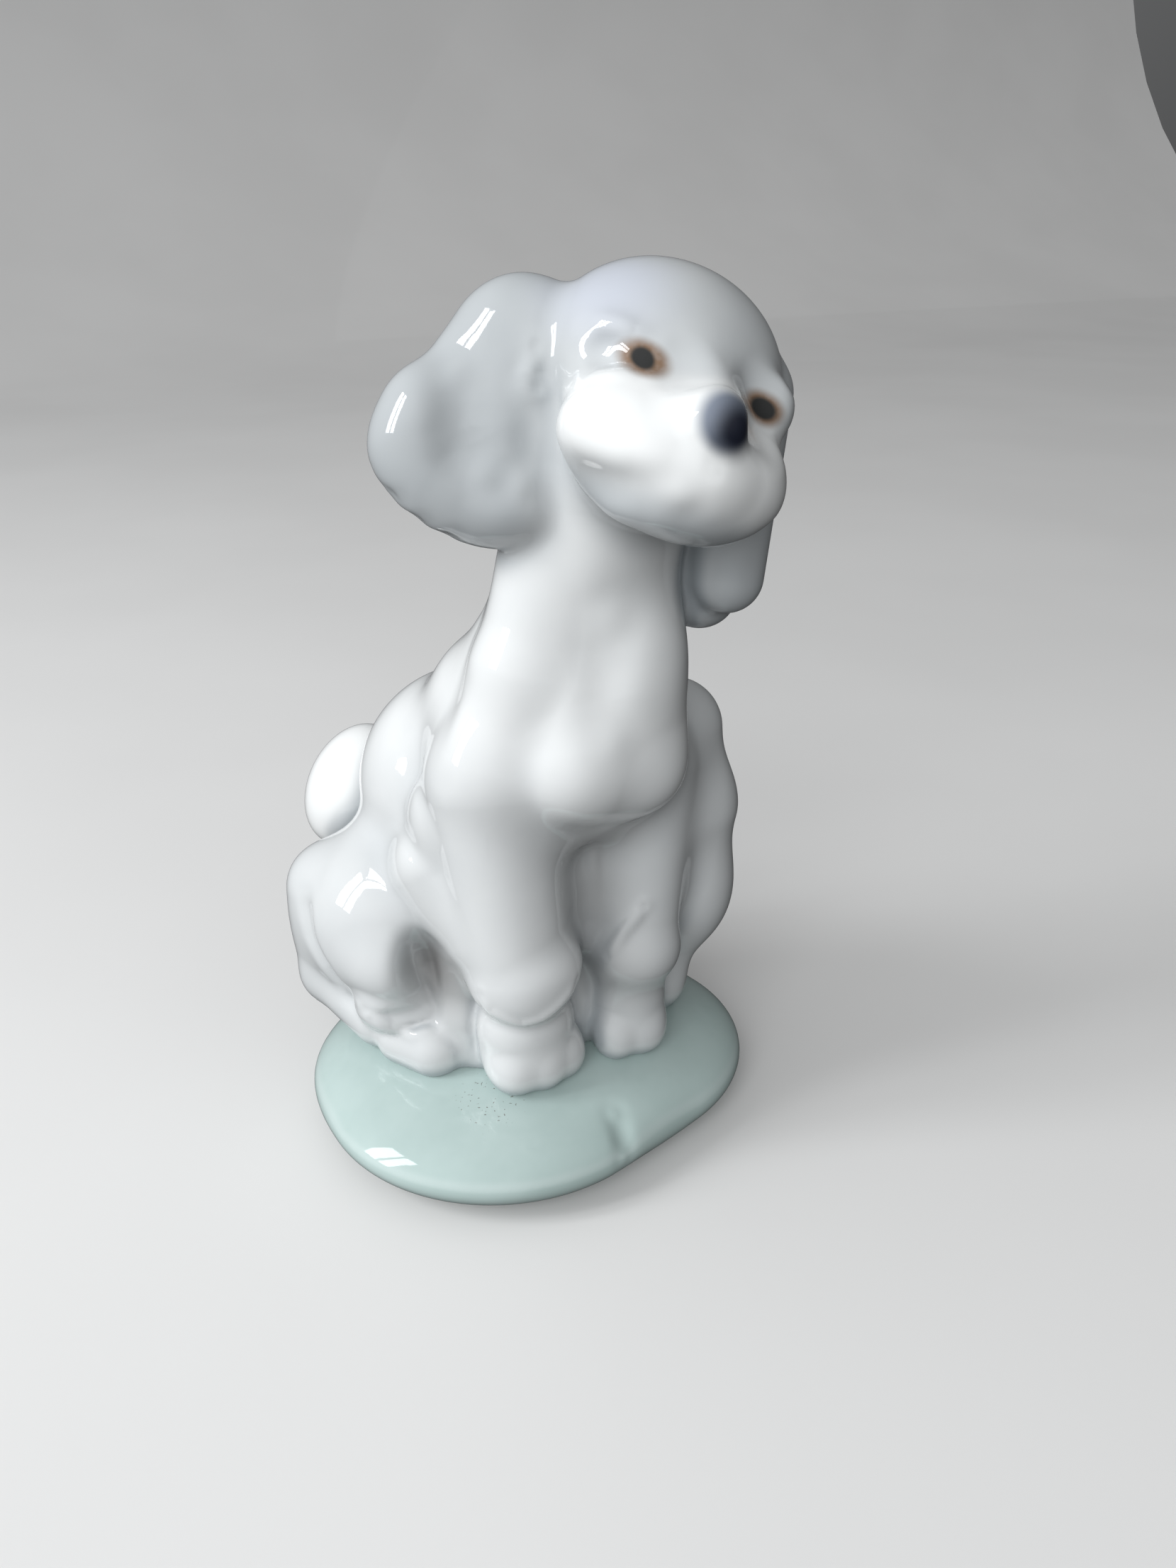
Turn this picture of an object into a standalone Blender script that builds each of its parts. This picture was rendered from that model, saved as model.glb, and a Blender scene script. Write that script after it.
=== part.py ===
"""Glazed ceramic figurine of a seated poodle puppy on a small oval base.

The figurine is modelled as the clay pieces that are cast one by one and luted together before
the glaze firing: a hollow base, a hollow torso with its neck, a hollow head, two ears, a tail
and four legs. Each piece is one closed solid, trimmed to the surface of the piece it sits on.

Blender units are metres, with +Z up. The origin is the middle of the base's flat foot. The dog
looks along -Y and its own right side is at -X. Every length below is in millimetres and is
turned into metres where it meets Blender.
"""

import math

import bmesh
import bpy
from mathutils import Matrix, Vector

MM = 0.001

# Driving dimensions, in millimetres.
BASE_LENGTH = 57.8  # side to side
BASE_DEPTH = 50.5  # front to back
BASE_THICKNESS = 11.5
MOUND_RISE = 8.0  # from the widest level of the base to its top
WALL = 3.0  # cast clay wall of the hollow pieces
JOINT_GAP = 0.3  # slip joint between two pieces
VENT_RADIUS = 2.6  # openings that let the air out of the hollow pieces
NECK_BORE = 5.2  # opening from the neck into the head
HEAD_CENTRE = (9.2, -12.7, 92.8)
HEAD_TURN = (-14.5, -1.0, 21.0)  # yaw, pitch and roll of the cocked head, in degrees
NECK_FOOT = (4.2, -5.0, 66.0)
NECK_TOP = (5.8, -8.0, 86.0)
NECK_FOOT_RADIUS = 10.8
NECK_TOP_RADIUS = 10.2
BORE_START = 0.5  # where the neck bore begins, as a share of the neck's length
BORE_OVERRUN = 0.6  # how far it runs on past the top of the neck, as the same share
TORSO_VENT = (1.0, 12.0)  # where the torso's floor is open to the base
FOOT_VENT = (3.0, -6.0)  # where the base is open underneath
VENT_MEETING = 2 * WALL  # the level inside the base where both vents have come through
VENT_TOP = 6 * WALL  # a level inside the torso's hollow

# The mounds of the base, as shares of half its length or depth, or of the mound's rise.
MAIN_MOUND_LENGTH = 0.84
LEFT_MOUND_SIZE = 0.71
LEFT_MOUND_RISE = 0.96
REAR_MOUND_LENGTH = 0.9
REAR_MOUND_DEPTH = 0.78
REAR_MOUND_RISE = 0.98
MAIN_MOUND_DEPTH = 24.4  # front to back radius, in millimetres
MAIN_MOUND_ADVANCE = 0.5  # how far it sits forward of the middle
LEFT_MOUND_ADVANCE = 1.5

# Where each piece is luted to the piece that carries it: the origin of its object.
SEATS = {
    "torso": (*TORSO_VENT, BASE_THICKNESS),
    "ear_right": (-3.0, -3.0, 98.0),
    "ear_left": (18.0, -10.0, 95.0),
    "foreleg_right": (-8.0, -5.0, 46.0),
    "foreleg_left": (12.0, -5.0, 46.0),
    "hind_leg_right": (-15.2, 14.0, 26.0),
    "hind_leg_left": (18.0, 7.0, 34.0),
    "tail": (-3.0, 26.0, 28.0),
}

# Triangles that each surface is thinned out to, before it is trimmed.
FACES = {
    "base": 1000,
    "torso": 1700,
    "head": 1200,
    "ear_right": 500,
    "ear_left": 500,
    "foreleg_right": 800,
    "foreleg_left": 800,
    "hind_leg_right": 800,
    "hind_leg_left": 800,
    "tail": 320,
    "base_cavity": 300,
    "torso_cavity": 500,
    "head_cavity": 200,
}

# Quality of the surfaces.
BODY_CELL = 1.4  # size of the fused faces, in millimetres, before they are thinned out
LIMB_CELL = 1.1
CAVITY_CELL = 2.0
LIMB_SOFTENING = 5  # smoothing steps
BODY_SOFTENING = 14
SOFTENING_STRENGTH = 0.5
SOFTENING_LOSS = 0.03  # what each smoothing step takes off the surface, given back afterwards
BALL_SIDES = 28
BALL_RINGS = 18
CUTTER_SIDES = 24
CUTTER_REACH = 100.0

SHARP_ANGLE = 50.0  # degrees between faces, above which an edge is shaded sharp
GLAZE_ROUGHNESS = 0.08
GREY_GLAZE = (0.46, 0.49, 0.52)
PALE_GLAZE = (0.60, 0.64, 0.67)
WHITE_GLAZE = (0.78, 0.80, 0.81)
CELADON_GLAZE = (0.42, 0.56, 0.50)


def turned(turn):
    """The rotation for a yaw about Z, then a pitch about X, then a roll about Y, in degrees."""
    yaw, pitch, roll = (math.radians(angle) for angle in turn)
    about_z = Matrix.Rotation(yaw, 4, "Z")
    about_x = Matrix.Rotation(pitch, 4, "X")
    about_y = Matrix.Rotation(roll, 4, "Y")
    return about_z @ about_x @ about_y


class Ball:
    """An ellipsoid, by its centre, its three radii and its turn."""

    def __init__(self, centre, radii, turn=(0.0, 0.0, 0.0)):
        self.centre = Vector(centre)
        self.radii = radii
        self.turn = turn

    def thinned(self, wall):
        return Ball(self.centre, [radius - wall for radius in self.radii], self.turn)

    def slimmest(self):
        return min(self.radii)

    def add_to(self, mesh):
        size = Matrix.Diagonal([radius * MM for radius in self.radii] + [1.0])
        place = Matrix.Translation(self.centre * MM) @ turned(self.turn) @ size
        bmesh.ops.create_uvsphere(
            mesh, u_segments=BALL_SIDES, v_segments=BALL_RINGS, radius=1.0, matrix=place
        )


class Limb:
    """A round bar with ball ends, by its two ends and the radius at each."""

    def __init__(self, start, end, start_radius, end_radius):
        self.start = Vector(start)
        self.end = Vector(end)
        self.start_radius = start_radius
        self.end_radius = end_radius

    def thinned(self, wall):
        return Limb(self.start, self.end, self.start_radius - wall, self.end_radius - wall)

    def slimmest(self):
        return min(self.start_radius, self.end_radius)

    def add_to(self, mesh):
        Ball(self.start, [self.start_radius] * 3).add_to(mesh)
        Ball(self.end, [self.end_radius] * 3).add_to(mesh)
        axis = self.end - self.start
        aim = axis.to_track_quat("Z", "Y").to_matrix().to_4x4()
        place = Matrix.Translation((self.start + self.end) / 2 * MM) @ aim
        bmesh.ops.create_cone(
            mesh,
            cap_ends=True,
            segments=BALL_SIDES,
            radius1=self.start_radius * MM,
            radius2=self.end_radius * MM,
            depth=axis.length * MM,
            matrix=place,
        )


def clear_scene():
    """Removes whatever the file opened with."""
    for obj in list(bpy.data.objects):
        bpy.data.objects.remove(obj, do_unlink=True)


def new_collection(name):
    collection = bpy.data.collections.new(name)
    bpy.context.scene.collection.children.link(collection)
    return collection


def bake(obj):
    """Applies the object's modifiers to its mesh."""
    bpy.context.view_layer.update()
    graph = bpy.context.evaluated_depsgraph_get()
    mesh = bpy.data.meshes.new_from_object(obj.evaluated_get(graph))
    obj.modifiers.clear()
    obj.data = mesh


def modelled(name, forms, collection, cell, steps, place=Matrix.Identity(4)):
    """A soft solid: overlapping forms fused by a voxel remesh, smoothed and thinned out."""
    mesh = bmesh.new()
    for form in forms:
        form.add_to(mesh)
    data = bpy.data.meshes.new(name)
    mesh.to_mesh(data)
    mesh.free()
    obj = bpy.data.objects.new(name, data)
    collection.objects.link(obj)
    obj.matrix_world = place
    fuse = obj.modifiers.new("fuse", "REMESH")
    fuse.mode = "VOXEL"
    fuse.voxel_size = cell * MM
    soften = obj.modifiers.new("soften", "SMOOTH")
    soften.factor = SOFTENING_STRENGTH
    soften.iterations = steps
    swell(obj, steps * SOFTENING_LOSS)
    bake(obj)
    obj.data.calc_loop_triangles()
    thin = obj.modifiers.new("thin_out", "DECIMATE")
    thin.decimate_type = "COLLAPSE"
    thin.ratio = min(1.0, FACES[name] / len(obj.data.loop_triangles))
    bake(obj)
    return obj


def swell(obj, amount):
    """Moves the surface out along its normals."""
    displace = obj.modifiers.new("swell", "DISPLACE")
    displace.direction = "NORMAL"
    displace.mid_level = 0.0
    displace.strength = amount * MM


def as_guide(obj):
    """Marks an object that cuts others and isn't part of the figurine."""
    obj.hide_render = True
    obj.display_type = "WIRE"
    return obj


def clearance_of(obj, cutters):
    """A copy of a piece, larger all round by the slip joint, which trims its neighbours."""
    copy = bpy.data.objects.new(obj.name + "_clearance", obj.data.copy())
    cutters.objects.link(copy)
    copy.matrix_world = obj.matrix_world.copy()
    swell(copy, JOINT_GAP)
    bake(copy)
    return as_guide(copy)


def block_cutter(name, base, axis, cutters):
    """A square block whose face is centred on base and which reaches away along axis."""
    mesh = bmesh.new()
    bmesh.ops.create_cube(mesh, size=CUTTER_REACH * MM)
    data = bpy.data.meshes.new(name)
    mesh.to_mesh(data)
    mesh.free()
    obj = bpy.data.objects.new(name, data)
    cutters.objects.link(obj)
    direction = Vector(axis).normalized()
    middle = Vector(base) + direction * CUTTER_REACH / 2
    aim = direction.to_track_quat("Z", "Y").to_matrix().to_4x4()
    obj.matrix_world = Matrix.Translation(middle * MM) @ aim
    return as_guide(obj)


def bore_cutter(name, start, end, radius, cutters):
    """A round bar that drills from one point to another."""
    start = Vector(start)
    end = Vector(end)
    axis = end - start
    mesh = bmesh.new()
    bmesh.ops.create_cone(
        mesh,
        cap_ends=True,
        segments=CUTTER_SIDES,
        radius1=radius * MM,
        radius2=radius * MM,
        depth=axis.length * MM,
    )
    data = bpy.data.meshes.new(name)
    mesh.to_mesh(data)
    mesh.free()
    obj = bpy.data.objects.new(name, data)
    cutters.objects.link(obj)
    aim = axis.to_track_quat("Z", "Y").to_matrix().to_4x4()
    obj.matrix_world = Matrix.Translation((start + end) / 2 * MM) @ aim
    return as_guide(obj)


def trim(obj, *cutters):
    """Takes the cutters away from a piece, one after the other."""
    for cutter in cutters:
        cut = obj.modifiers.new("trim", "BOOLEAN")
        cut.operation = "DIFFERENCE"
        cut.solver = "EXACT"
        cut.object = cutter
    bake(obj)


def keep_largest_body(obj):
    """Drops the crumbs that a trim can leave on the far side of a neighbour."""
    mesh = bmesh.new()
    mesh.from_mesh(obj.data)
    unseen = set(mesh.verts)
    bodies = []
    while unseen:
        body = set()
        front = [unseen.pop()]
        while front:
            vertex = front.pop()
            body.add(vertex)
            for edge in vertex.link_edges:
                other = edge.other_vert(vertex)
                if other in unseen:
                    unseen.remove(other)
                    front.append(other)
        bodies.append(body)
    bodies.sort(key=len)
    for body in bodies[:-1]:
        bmesh.ops.delete(mesh, geom=list(body), context="VERTS")
    mesh.to_mesh(obj.data)
    mesh.free()


def glaze(name, colour):
    """A glossy fired glaze."""
    material = bpy.data.materials.new(name)
    material.use_nodes = True
    surface = material.node_tree.nodes["Principled BSDF"]
    surface.inputs["Base Color"].default_value = (*colour, 1.0)
    surface.inputs["Roughness"].default_value = GLAZE_ROUGHNESS
    surface.inputs["Metallic"].default_value = 0.0
    return material


def finish(obj, colour, parent):
    """Smooth shading, the piece's own glaze and its place in the assembly."""
    obj.data.materials.clear()
    obj.data.materials.append(glaze(obj.name + "_glaze", colour))
    obj.data.shade_smooth()
    obj.data.set_sharp_from_angle(angle=math.radians(SHARP_ANGLE))
    place = obj.matrix_world.copy()
    obj.parent = parent
    obj.matrix_world = place


def base_forms():
    """The lumpy oval ground: a main mound, a mound to the dog's left and a rear rise."""
    half_length = BASE_LENGTH / 2
    half_depth = BASE_DEPTH / 2
    middle = BASE_THICKNESS - MOUND_RISE
    main = MAIN_MOUND_LENGTH * half_length
    left = LEFT_MOUND_SIZE * half_length
    rear = REAR_MOUND_DEPTH * half_depth
    rear_length = REAR_MOUND_LENGTH * half_length
    left_rise = LEFT_MOUND_RISE * MOUND_RISE
    rear_rise = REAR_MOUND_RISE * MOUND_RISE
    main_centre = (main - half_length, -MAIN_MOUND_ADVANCE, middle)
    left_centre = (half_length - left, -LEFT_MOUND_ADVANCE, middle)
    rear_centre = (0.0, half_depth - rear, middle)
    return [
        Ball(main_centre, (main, MAIN_MOUND_DEPTH, MOUND_RISE)),
        Ball(left_centre, (left, left, left_rise)),
        Ball(rear_centre, (rear_length, rear, rear_rise)),
    ]


def torso_forms():
    return [
        Ball((1.0, 16.5, 25.0), (17.0, 13.5, 15.0)),  # rump
        Ball((-1.3, 13.5, 42.5), (15.2, 15.5, 17.0), (0.0, 12.0, 0.0)),  # rounded back
        Ball((0.5, 5.0, 56.0), (12.2, 11.5, 12.0)),  # withers
        Ball((3.0, -4.0, 55.0), (12.8, 12.0, 14.5)),  # rib cage
        Ball((5.0, -12.0, 53.0), (9.7, 7.7, 12.2)),  # chest
        Ball((1.5, -3.0, 33.0), (6.5, 4.5, 17.0)),  # belly web between the forelegs
        Limb(NECK_FOOT, NECK_TOP, NECK_FOOT_RADIUS, NECK_TOP_RADIUS),
    ]


def head_forms():
    """In the head's own frame: the skull, the puffed muzzle, the nose bridge and the nose."""
    return [
        Ball((0.0, 1.0, 3.0), (12.9, 12.7, 11.4)),
        Ball((0.0, -9.8, -3.9), (12.4, 9.2, 7.6)),
        Ball((0.0, -15.0, -4.6), (8.9, 6.5, 5.9)),
        Limb((0.0, -6.0, 2.8), (0.0, -17.0, 0.8), 5.2, 3.9),
        Ball((0.2, -19.6, 1.1), (3.1, 2.7, 2.8)),
    ]


def right_ear_forms():
    """A broad flap that swings out from the skull, as four hanging locks."""
    return [
        Limb((-4.5, -1.5, 97.5), (-12.8, -1.5, 88.8), 5.2, 5.6),
        Limb((-3.0, -3.5, 98.5), (-10.8, -3.5, 85.3), 5.2, 5.2),
        Limb((-1.0, -5.0, 98.0), (-7.8, -5.5, 83.2), 5.3, 5.1),
        Limb((0.0, -7.0, 97.0), (-4.8, -7.5, 83.2), 5.3, 5.1),
    ]


def left_ear_forms():
    """The other ear hangs straight down beside the neck, as three locks."""
    return [
        Limb((18.0, -14.0, 94.0), (18.5, -15.0, 73.2), 4.9, 4.9),
        Limb((18.0, -9.5, 95.0), (18.0, -10.0, 71.2), 4.9, 4.9),
        Limb((17.0, -5.0, 94.0), (16.5, -5.0, 74.2), 4.9, 4.9),
    ]


def tail_forms():
    """A pompon on a short stem."""
    return [
        Ball((-11.6, 33.0, 36.2), (7.1, 7.3, 9.1), (0.0, 0.0, 25.0)),
        Limb((-3.0, 26.0, 28.0), (-9.0, 31.0, 32.0), 5.0, 4.2),
    ]


def right_foreleg_forms():
    return [
        Limb((-8.0, -5.0, 46.0), (-6.6, -9.0, 24.0), 8.1, 7.0),  # leg
        Ball((-6.2, -9.0, 21.5), (7.6, 7.2, 4.8)),  # fluffy cuff
        Ball((-5.8, -10.2, 14.4), (7.1, 6.5, 4.8)),  # paw
    ]


def left_foreleg_forms():
    return [
        Limb((12.0, -5.0, 46.0), (9.2, -8.5, 24.0), 8.1, 6.6),
        Ball((8.8, -9.0, 22.0), (6.8, 6.5, 4.8)),
        Ball((8.2, -10.3, 14.8), (5.9, 6.4, 5.0)),
    ]


def right_hind_leg_forms():
    return [
        Ball((-15.2, 14.0, 26.0), (10.7, 14.2, 12.2), (10.0, -15.0, 0.0)),  # thigh
        Limb((-21.5, 20.0, 30.0), (-20.8, 18.5, 16.5), 5.4, 4.7),  # fold behind the thigh
        Limb((-20.0, 17.0, 15.5), (-15.5, 4.0, 15.5), 4.6, 4.3),  # hock
        Limb((-16.8, 5.0, 14.3), (-14.4, -2.3, 13.9), 4.7, 4.8),  # foot
    ]


def left_hind_leg_forms():
    return [
        Ball((18.0, 7.0, 34.0), (9.2, 13.2, 15.2), (0.0, 15.0, 5.0)),  # thigh
        Limb((22.0, -2.0, 40.0), (18.5, 0.0, 20.0), 7.2, 6.2),  # raised knee and shin
        Limb((18.0, 4.0, 14.5), (17.0, -2.0, 14.5), 4.7, 5.0),  # foot
    ]


def head_place():
    return Matrix.Translation(Vector(HEAD_CENTRE) * MM) @ turned(HEAD_TURN)


def build_base(parts, cutters):
    """The ground: flat foot, hollow inside, open below and under the torso."""
    base = modelled("base", base_forms(), parts, BODY_CELL, BODY_SOFTENING)
    clearance = clearance_of(base, cutters)
    cavity_forms = [form.thinned(WALL) for form in base_forms()]
    cavity = modelled("base_cavity", cavity_forms, cutters, CAVITY_CELL, LIMB_SOFTENING)
    floor = block_cutter("base_floor", (0.0, 0.0, WALL), (0.0, 0.0, -1.0), cutters)
    trim(cavity, floor)
    as_guide(cavity)
    below = block_cutter("table_plane", (0.0, 0.0, 0.0), (0.0, 0.0, -1.0), cutters)
    foot_start = (*FOOT_VENT, -WALL)
    foot_end = (*FOOT_VENT, VENT_MEETING)
    foot_vent = bore_cutter("foot_vent", foot_start, foot_end, VENT_RADIUS, cutters)
    top_start = (*TORSO_VENT, VENT_MEETING)
    top_end = (*TORSO_VENT, VENT_TOP)
    top_vent = bore_cutter("torso_vent", top_start, top_end, VENT_RADIUS, cutters)
    trim(base, below, cavity, foot_vent, top_vent)
    return base, clearance, top_vent


def build_torso(parts, cutters, base_clearance, top_vent):
    """Body and neck in one casting, open at the floor and through the top of the neck."""
    torso = modelled("torso", torso_forms(), parts, BODY_CELL, BODY_SOFTENING)
    trim(torso, base_clearance)
    clearance = clearance_of(torso, cutters)
    hollow = [form.thinned(WALL) for form in torso_forms() if form.slimmest() > 2 * WALL]
    cavity = modelled("torso_cavity", hollow, cutters, CAVITY_CELL, LIMB_SOFTENING)
    as_guide(cavity)
    neck_axis = Vector(NECK_TOP) - Vector(NECK_FOOT)
    bore_start = Vector(NECK_FOOT) + BORE_START * neck_axis
    bore_end = Vector(NECK_TOP) + BORE_OVERRUN * neck_axis
    neck_bore = bore_cutter("neck_bore", bore_start, bore_end, NECK_BORE, cutters)
    trim(torso, cavity, neck_bore, top_vent)
    return torso, clearance


def build_head(parts, cutters, torso_clearance):
    """The hollow head, socketed over the rounded end of the neck."""
    place = head_place()
    head = modelled("head", head_forms(), parts, LIMB_CELL, LIMB_SOFTENING, place)
    clearance = clearance_of(head, cutters)
    skull = [head_forms()[0].thinned(WALL)]
    cavity = modelled("head_cavity", skull, cutters, CAVITY_CELL, LIMB_SOFTENING, place)
    as_guide(cavity)
    trim(head, cavity, torso_clearance)
    return head, clearance


def build_solid_piece(name, forms, parts, neighbours):
    """A piece that is cast solid, trimmed to the pieces that it touches."""
    piece = modelled(name, forms, parts, LIMB_CELL, LIMB_SOFTENING)
    trim(piece, *neighbours)
    keep_largest_body(piece)
    return piece


def set_origin(obj, point):
    """Moves the object's origin to a point, and leaves the shape where it is."""
    target = Matrix.Translation(Vector(point) * MM)
    obj.data.transform(target.inverted() @ obj.matrix_world)
    obj.matrix_world = target


def main():
    clear_scene()
    parts = new_collection("ceramic_dog_figurine")
    cutters = new_collection("cutters")
    root = bpy.data.objects.new("figurine_origin", None)
    parts.objects.link(root)

    base, base_clearance, top_vent = build_base(parts, cutters)
    torso, torso_clearance = build_torso(parts, cutters, base_clearance, top_vent)
    head, head_clearance = build_head(parts, cutters, torso_clearance)
    crown = (head_clearance, torso_clearance)
    ear_right = build_solid_piece("ear_right", right_ear_forms(), parts, crown)
    ear_left = build_solid_piece("ear_left", left_ear_forms(), parts, crown)

    trunk = (torso_clearance, base_clearance)
    foreleg_right = build_solid_piece("foreleg_right", right_foreleg_forms(), parts, trunk)
    foreleg_left = build_solid_piece("foreleg_left", left_foreleg_forms(), parts, trunk)
    beside_right = (*trunk, clearance_of(foreleg_right, cutters))
    beside_left = (*trunk, clearance_of(foreleg_left, cutters))
    hind_leg_right = build_solid_piece(
        "hind_leg_right", right_hind_leg_forms(), parts, beside_right
    )
    hind_leg_left = build_solid_piece(
        "hind_leg_left", left_hind_leg_forms(), parts, beside_left
    )
    behind = (torso_clearance, clearance_of(hind_leg_right, cutters))
    tail = build_solid_piece("tail", tail_forms(), parts, behind)

    ears = (ear_right, ear_left)
    legs = (foreleg_right, foreleg_left, hind_leg_right, hind_leg_left)
    for piece in (torso, *ears, *legs, tail):
        set_origin(piece, SEATS[piece.name])

    finish(base, CELADON_GLAZE, root)
    finish(torso, PALE_GLAZE, root)
    finish(head, PALE_GLAZE, torso)
    for ear in ears:
        finish(ear, GREY_GLAZE, head)
    for leg in legs:
        finish(leg, PALE_GLAZE, torso)
    finish(tail, WHITE_GLAZE, torso)


main()
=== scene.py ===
"""Looks of a glazed porcelain dog figurine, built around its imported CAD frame.

The dog is sculpted the way it was cast: every casting is a group of rounded forms, placed from the box of its
CAD body, and the castings flow into each other like luted clay under glaze. The sculpture is a distance field
in millimetres. Its surface is meshed once, then split into one closed piece for each CAD body.
"""
import math

import bpy
import numpy as np
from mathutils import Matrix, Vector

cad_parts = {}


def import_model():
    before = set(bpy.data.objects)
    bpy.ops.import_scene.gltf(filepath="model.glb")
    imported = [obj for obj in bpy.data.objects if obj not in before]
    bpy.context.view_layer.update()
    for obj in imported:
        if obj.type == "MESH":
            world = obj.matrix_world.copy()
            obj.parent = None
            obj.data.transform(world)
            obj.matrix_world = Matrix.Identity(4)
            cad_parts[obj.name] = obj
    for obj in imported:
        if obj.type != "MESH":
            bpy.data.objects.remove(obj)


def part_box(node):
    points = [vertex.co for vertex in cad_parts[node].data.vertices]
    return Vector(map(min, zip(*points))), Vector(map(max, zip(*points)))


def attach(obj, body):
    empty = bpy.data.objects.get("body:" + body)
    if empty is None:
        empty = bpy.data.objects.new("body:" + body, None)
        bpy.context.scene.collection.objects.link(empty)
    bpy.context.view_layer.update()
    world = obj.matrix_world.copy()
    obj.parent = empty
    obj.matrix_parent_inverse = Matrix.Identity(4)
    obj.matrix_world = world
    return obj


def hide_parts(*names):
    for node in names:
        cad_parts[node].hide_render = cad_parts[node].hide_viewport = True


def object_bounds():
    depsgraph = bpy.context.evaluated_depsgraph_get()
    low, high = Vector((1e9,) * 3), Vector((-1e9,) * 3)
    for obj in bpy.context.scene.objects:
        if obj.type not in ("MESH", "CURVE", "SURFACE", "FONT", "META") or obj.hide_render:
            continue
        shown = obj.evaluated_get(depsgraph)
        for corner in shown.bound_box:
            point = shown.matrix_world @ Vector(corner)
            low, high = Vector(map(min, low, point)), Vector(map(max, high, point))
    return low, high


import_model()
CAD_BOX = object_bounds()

import openvdb
from mathutils import Vector

BODY = "root"

MM = 0.001
TINY = 1e-9                               # keeps divisions away from zero
CELL = 0.45        # size of the cells that the surface is meshed with, mm
COARSE = 4                                # fine cells in one cell of the first, coarse look
FAR = 8.0                                 # distances are worked out only this near a form, mm
REACH = 1.25 * FAR                        # how far round a form its distances are asked for, mm
FUR_LOW = 20.0                            # below this height the paws part crisply, mm
FUR_HIGH = 34.0                           # above this one the coats melt together, mm
SINK = 0.15                               # how deep the paws sit in the base's glaze, mm
CONTACT_ROUNDING = 0.5                    # how softly the dog turns into the base, mm
CRISP_BLEND = 1.3                         # how wide the legs melt together down at the paws, mm
TOE_BLEND = 0.9                           # how wide the toes melt together, mm
SMALLEST_PATCH = 400                      # faces; a smaller patch joins the piece around it
CAP_RINGS = 6                             # rows of faces between a cap's rim and its middle
CAP_LIP = 0.6                             # how far a cap first goes straight in from its rim, mm
CAP_DEPTH = 1.5                           # how far the middle of a cap stays inside the clay, mm

HEAD_TURN = (-14.5, -1, 21)               # yaw, pitch and roll of the head, degrees
HEAD_SHIFT = (0.7, 4.2, -1.3)             # middle of the skull, from the middle of the head's box


# ---------------------------------------------------------------- forms

def turned(yaw=0, pitch=0, roll=0):
    """A rotation whose columns are the turned axes: roll about y, then pitch about x, then yaw about z."""
    y, p, r = (math.radians(angle) for angle in (yaw, pitch, roll))
    about_z = np.array([[math.cos(y), -math.sin(y), 0], [math.sin(y), math.cos(y), 0], [0, 0, 1]])
    about_x = np.array([[1, 0, 0], [0, math.cos(p), -math.sin(p)], [0, math.sin(p), math.cos(p)]])
    about_y = np.array([[math.cos(r), 0, math.sin(r)], [0, 1, 0], [-math.sin(r), 0, math.cos(r)]])
    return about_z @ about_x @ about_y


def smooth_min(a, b, k):
    """The smaller of two distances, rounded over a width k where they are alike."""
    near = np.maximum(k - np.abs(a - b), 0) / k
    return np.minimum(a, b) - near * near * k * 0.25


def smooth_max(a, b, k):
    return -smooth_min(-a, -b, k)


def inside_box(points, low, high):
    return np.all((points > low) & (points < high), axis=1)


class Ball:
    """An ellipsoid."""

    def __init__(self, centre, radii, axes, blend):
        self.centre = centre
        self.radii = np.array(radii, float)
        self.axes = axes
        self.blend = blend
        half = np.sqrt(((axes * self.radii) ** 2).sum(axis=1)) + REACH
        self.low = centre - half
        self.high = centre + half

    def distance(self, points):
        local = (points - self.centre) @ self.axes
        a = np.sqrt(((local / self.radii) ** 2).sum(axis=1))
        b = np.sqrt(((local / self.radii ** 2) ** 2).sum(axis=1)) + TINY
        return a * (a - 1) / b


class Limb:
    """A round bar with rounded ends and a radius at each end."""

    def __init__(self, start, end, start_radius, end_radius, blend):
        self.start = start
        self.end = end
        self.start_radius = start_radius
        self.end_radius = end_radius
        self.blend = blend
        self.low = np.minimum(start - start_radius, end - end_radius) - FAR
        self.high = np.maximum(start + start_radius, end + end_radius) + FAR

    def distance(self, points):
        along = self.end - self.start
        share = np.clip((points - self.start) @ along / (along @ along), 0, 1)
        nearest = self.start + share[:, None] * along
        radius = self.start_radius + (self.end_radius - self.start_radius) * share
        return np.linalg.norm(points - nearest, axis=1) - radius


END_FADE = 0.85                           # how much of a line's height is gone at its ends
END_REACH = 1.4                           # how far from an end that is felt, in line widths
LINE_REACH = 2.6                          # how far round a line its lift is asked for, in line widths


class Line:
    """A modelled line on the surface: a fold that stands up, or a crease where its height is negative."""

    def __init__(self, stops, width, height):
        self.stops = stops
        self.width = width
        self.height = height
        self.low = stops.min(axis=0) - LINE_REACH * width
        self.high = stops.max(axis=0) + LINE_REACH * width

    def lift(self, points):
        """How far the line raises the surface at each point; it dies away sideways and at both ends."""
        nearest = np.full(len(points), np.inf)
        for i in range(len(self.stops) - 1):
            along = self.stops[i + 1] - self.stops[i]
            share = np.clip((points - self.stops[i]) @ along / (along @ along), 0, 1)
            gap = ((points - self.stops[i] - share[:, None] * along) ** 2).sum(axis=1)
            nearest = np.minimum(nearest, gap)
        lift = self.height * np.exp(-nearest / self.width ** 2)
        for end in (self.stops[0], self.stops[-1]):
            gap = ((points - end) ** 2).sum(axis=1)
            lift *= 1 - END_FADE * np.exp(-gap / (END_REACH * self.width) ** 2)
        return lift


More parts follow.
